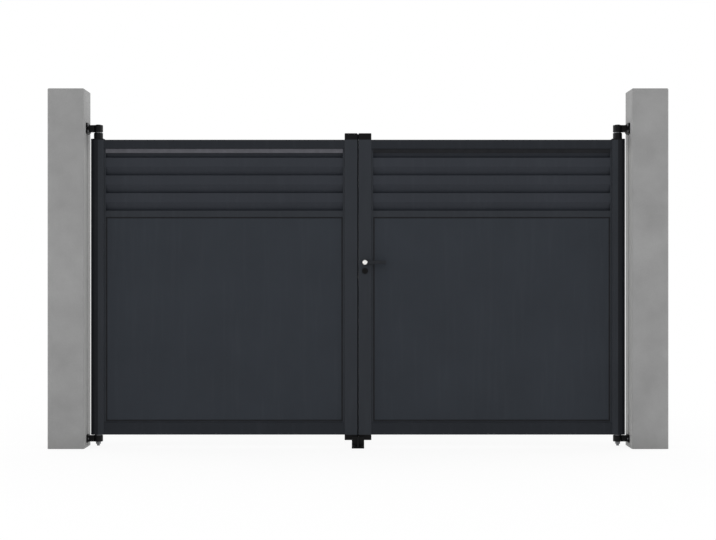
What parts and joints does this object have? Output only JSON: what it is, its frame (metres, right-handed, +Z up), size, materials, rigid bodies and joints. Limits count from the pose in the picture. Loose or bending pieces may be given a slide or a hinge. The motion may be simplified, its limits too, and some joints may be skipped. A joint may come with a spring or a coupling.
{
  "type": "swing gate",
  "caption": "Double-leaf aluminium swing gate hung between two plain pillars, with a louvred band above flat infill panels, pivot hinges, a lever lock and a floor stop.",
  "frame": {"origin": "centre of the left pillar's foot, on the ground", "axes": "+X along the gate from the left pillar to the right one, +Y inward (away from the viewer of the picture, the way the leaves open), +Z up"},
  "size_m": [3.4, 0.2, 1.975],
  "materials": {
    "rendered_masonry": "fine smooth grey render",
    "black_steel": "black powder coat, satin",
    "zinc_steel": "dull plated steel",
    "anthracite_frame": "anthracite powder coat, fine satin",
    "anthracite_panel": "anthracite powder coat, fine satin",
    "anthracite_louvre": "anthracite powder coat, fine satin",
    "anthracite_fitting": "anthracite powder coat, satin",
    "black_plastic": "moulded black, fine grain",
    "stainless_steel": "brushed",
    "polished_steel": "polished",
    "rubber": "matt black rubber"
  },
  "bodies": {
    "pillars": {"left_pillar": "rendered_masonry", "left_upper_hinge_bracket": "black_steel", "left_lower_hinge_bracket": "black_steel", "left_upper_pivot_pin": "zinc_steel", "left_lower_pivot_pin": "zinc_steel", "right_pillar": "rendered_masonry", "right_upper_hinge_bracket": "black_steel", "right_lower_hinge_bracket": "black_steel", "right_upper_pivot_pin": "zinc_steel", "right_lower_pivot_pin": "zinc_steel", "floor_stop": "black_steel", "floor_stop_buffer": "rubber"},
    "left_leaf": {"left_hinge_stile": "anthracite_frame", "left_meeting_stile": "anthracite_frame", "left_top_rail": "anthracite_frame", "left_bottom_rail": "anthracite_frame", "left_mid_rail": "anthracite_frame", "left_infill_panel": "anthracite_panel", "left_louvre_blades": "anthracite_louvre", "left_upper_pivot_cap": "black_steel", "left_lower_pivot_cap": "black_plastic", "left_meeting_top_cap": "black_plastic", "left_meeting_bottom_cap": "black_plastic", "strike_plate": "stainless_steel"},
    "right_leaf": {"right_hinge_stile": "anthracite_frame", "right_meeting_stile": "anthracite_frame", "right_top_rail": "anthracite_frame", "right_bottom_rail": "anthracite_frame", "right_mid_rail": "anthracite_frame", "right_infill_panel": "anthracite_panel", "right_louvre_blades": "anthracite_louvre", "right_upper_pivot_cap": "black_steel", "right_lower_pivot_cap": "black_plastic", "right_meeting_top_cap": "black_plastic", "right_meeting_bottom_cap": "black_plastic", "lock_face_plate": "stainless_steel", "outer_lever_rose": "anthracite_fitting", "inner_lever_rose": "anthracite_fitting", "outer_key_rose": "black_plastic", "inner_key_rose": "black_plastic", "key_barrel": "black_steel"},
    "lever_handle": {"outer_lever_hub": "polished_steel", "outer_lever_grip": "anthracite_fitting", "inner_lever_hub": "polished_steel", "inner_lever_grip": "anthracite_fitting"}
  },
  "joints": [
    {"name": "left_leaf_swing", "type": "hinge", "parent": "pillars", "child": "left_leaf", "pos_m": [0.162, 0, 0.885], "axis": [0, 0, 1], "range_deg": [0, 90]},
    {"name": "right_leaf_swing", "type": "hinge", "parent": "pillars", "child": "right_leaf", "pos_m": [3.038, 0, 0.885], "axis": [0, 0, -1], "range_deg": [0, 90]},
    {"name": "lever_turn", "type": "hinge", "parent": "right_leaf", "child": "lever_handle", "pos_m": [1.6385, 0, 1.022], "axis": [0, 1, 0], "range_deg": [0, 45], "stiffness_Nm_per_rad": 1.5, "springref_deg": -28.65}
  ]
}
